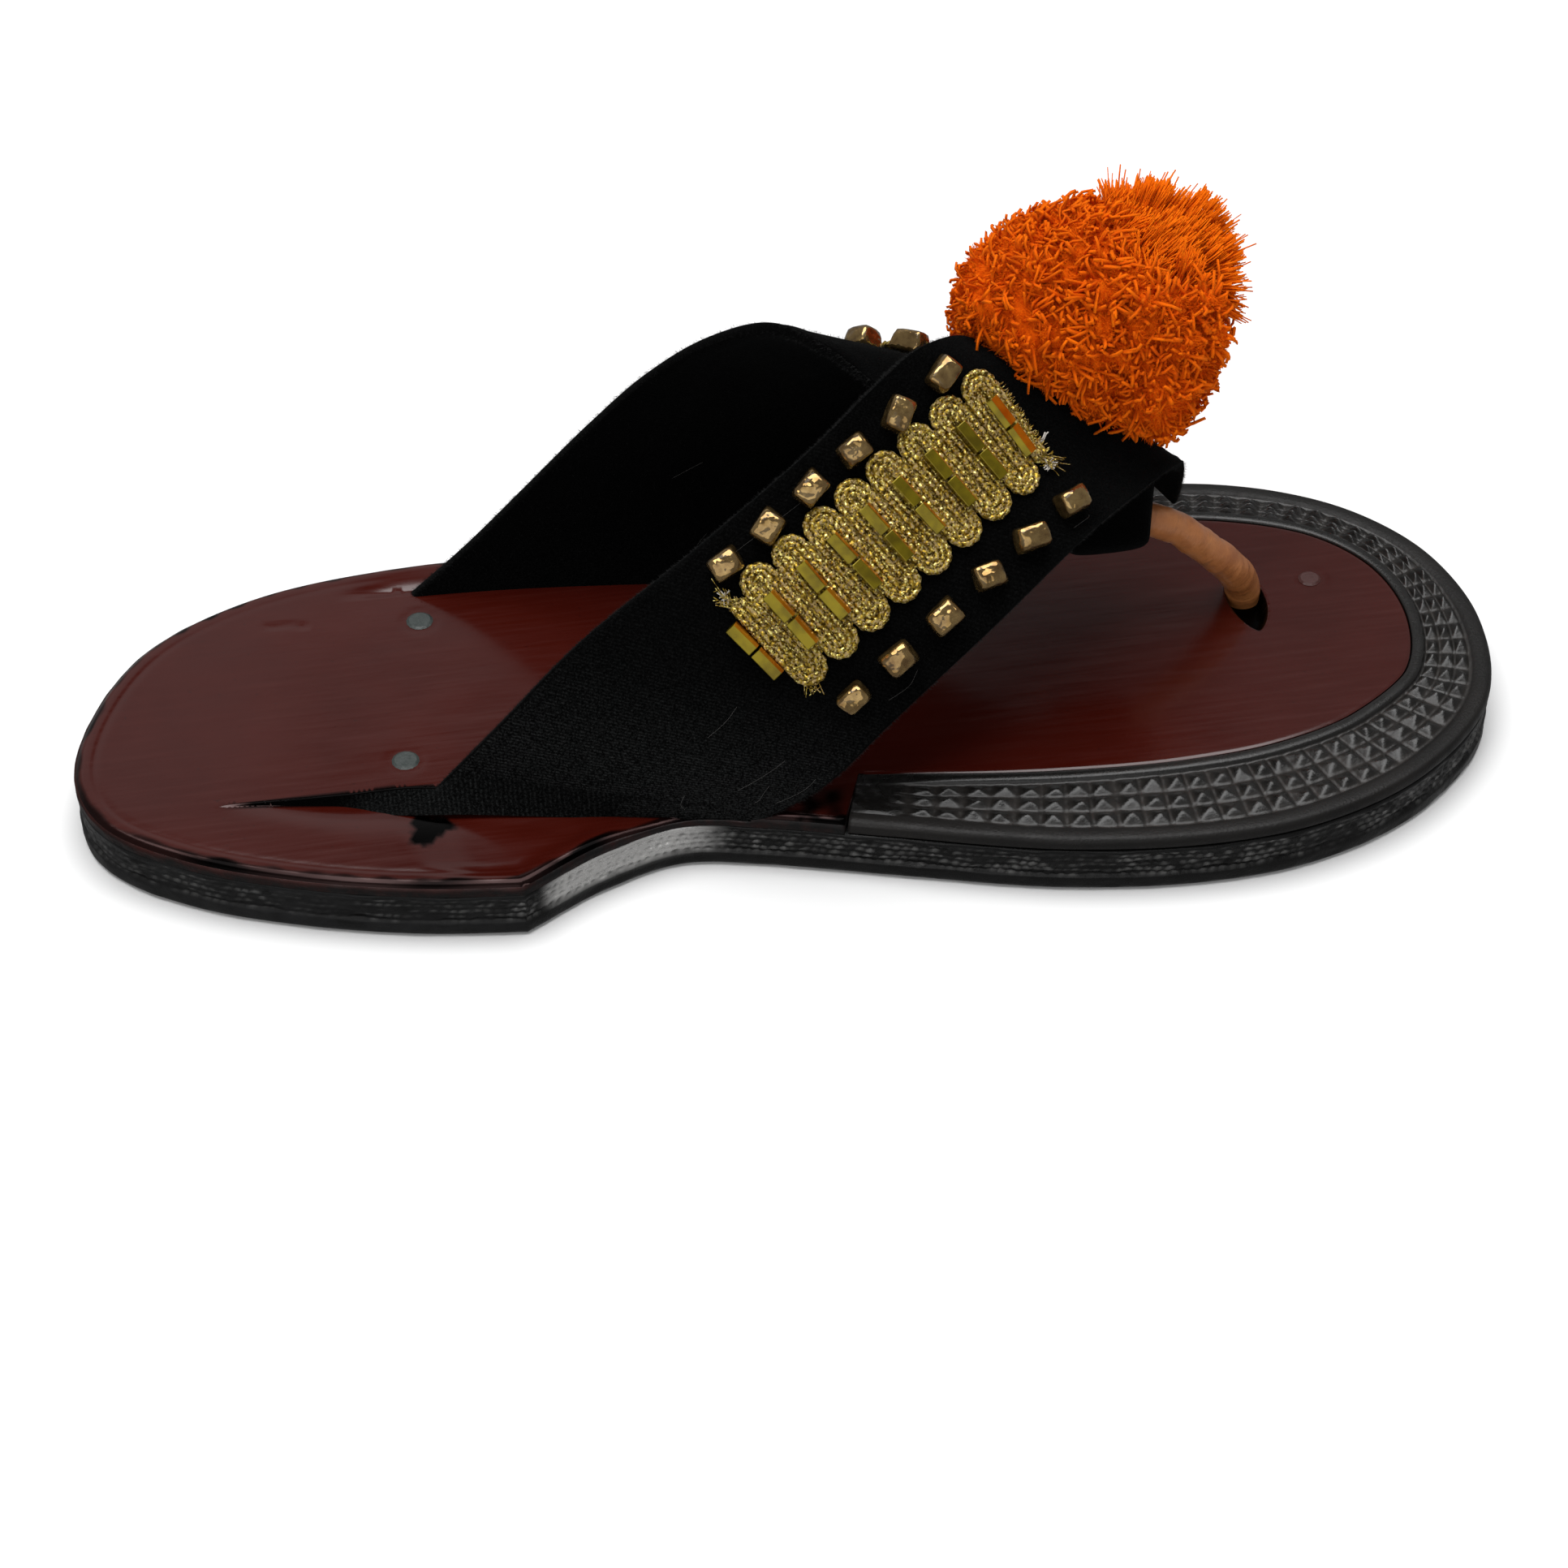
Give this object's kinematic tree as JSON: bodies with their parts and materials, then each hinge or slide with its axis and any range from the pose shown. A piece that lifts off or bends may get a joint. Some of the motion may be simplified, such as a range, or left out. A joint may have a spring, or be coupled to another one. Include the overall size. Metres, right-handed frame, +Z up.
{
  "type": "ahenema sandal",
  "caption": "Flat royal thong sandal for the right foot with a broad leather sole, crossed velvet straps, gold braid and bead ornament, a rolled toe post and a yarn pompom.",
  "frame": {"origin": "middle of the bounding box on the floor, under the waist of the sole", "axes": "+X towards the toe, +Y towards the inner side of the foot, +Z up"},
  "size_m": [0.29, 0.1104, 0.1084],
  "materials": {
    "sole_black": "black dyed leather sole edge, satin to matt where worn",
    "oxblood": "oxblood lacquered leather, semi-gloss",
    "border_black": "black tooled leather, satin",
    "velvet": "black pile velvet",
    "tan_leather": "tan rolled leather, satin",
    "yarn": "orange cotton yarn, matt",
    "braid": "gold metallic braid, sparkling",
    "bugle": "olive gold lined square glass",
    "nugget": "faceted copper gold coated bead",
    "iron": "dull grey iron",
    "painted_nail": "oxblood painted over"
  },
  "bodies": {
    "root": {"outsole": "sole_black", "insole": "oxblood", "tooled_border": "border_black", "strap": "velvet", "toe_post": "tan_leather", "post_loop": "velvet", "pompom": "yarn", "braid_outer": "braid", "bugle_pair_outer_1": "bugle", "bugle_pair_outer_2": "bugle", "bugle_pair_outer_3": "bugle", "bugle_pair_outer_4": "bugle", "bugle_pair_outer_5": "bugle", "bugle_pair_outer_6": "bugle", "bugle_pair_outer_7": "bugle", "bugle_pair_outer_8": "bugle", "bugle_pair_outer_9": "bugle", "nugget_outer_rear_1": "nugget", "nugget_outer_rear_2": "nugget", "nugget_outer_rear_3": "nugget", "nugget_outer_rear_4": "nugget", "nugget_outer_rear_5": "nugget", "nugget_outer_rear_6": "nugget", "nugget_outer_front_1": "nugget", "nugget_outer_front_2": "nugget", "nugget_outer_front_3": "nugget", "nugget_outer_front_4": "nugget", "nugget_outer_front_5": "nugget", "nugget_outer_front_6": "nugget", "braid_inner": "braid", "bugle_pair_inner_1": "bugle", "bugle_pair_inner_2": "bugle", "bugle_pair_inner_3": "bugle", "bugle_pair_inner_4": "bugle", "bugle_pair_inner_5": "bugle", "bugle_pair_inner_6": "bugle", "bugle_pair_inner_7": "bugle", "bugle_pair_inner_8": "bugle", "bugle_pair_inner_9": "bugle", "nugget_inner_rear_1": "nugget", "nugget_inner_rear_2": "nugget", "nugget_inner_rear_3": "nugget", "nugget_inner_rear_4": "nugget", "nugget_inner_rear_5": "nugget", "nugget_inner_rear_6": "nugget", "nugget_inner_front_1": "nugget", "nugget_inner_front_2": "nugget", "nugget_inner_front_3": "nugget", "nugget_inner_front_4": "nugget", "nugget_inner_front_5": "nugget", "nugget_inner_front_6": "nugget", "nail_heel_outer": "iron", "nail_heel_inner": "iron", "nail_toe": "painted_nail"}
  },
  "joints": []
}
